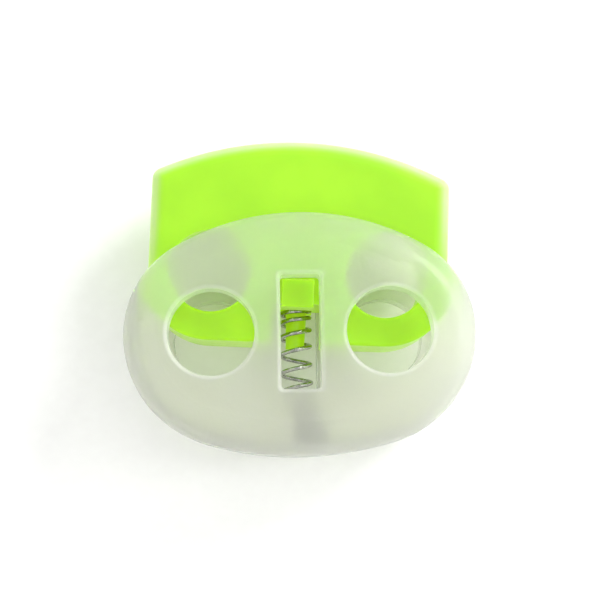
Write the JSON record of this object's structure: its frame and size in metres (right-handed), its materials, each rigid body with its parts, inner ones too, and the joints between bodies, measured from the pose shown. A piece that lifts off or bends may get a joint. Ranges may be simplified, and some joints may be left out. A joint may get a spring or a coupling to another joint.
{
  "type": "cord lock",
  "caption": "Oval spring cord lock: a translucent body with round cord holes and a window, and a sliding button with a coil spring that grips the cords.",
  "frame": {"origin": "on the body's flat back face, midway between the two cord holes", "axes": "+X across the two cord holes, +Y the way the button springs out, +Z out of the front face"},
  "size_m": [0.024, 0.0218, 0.01],
  "materials": {
    "shell": "frosted translucent, colourless",
    "button": "translucent lime green, satin",
    "wire": "bright drawn steel wire"
  },
  "bodies": {
    "body": {"body": "shell", "spring": "wire"},
    "plunger": {"plunger": "button"}
  },
  "joints": [
    {"name": "plunger_press", "type": "slide", "parent": "body", "child": "plunger", "axis": [0, -1, 0], "range_m": [0, 0.0045], "stiffness_N_per_m": 1300, "springref_m": -0.0016, "deforming": ["spring"]}
  ]
}
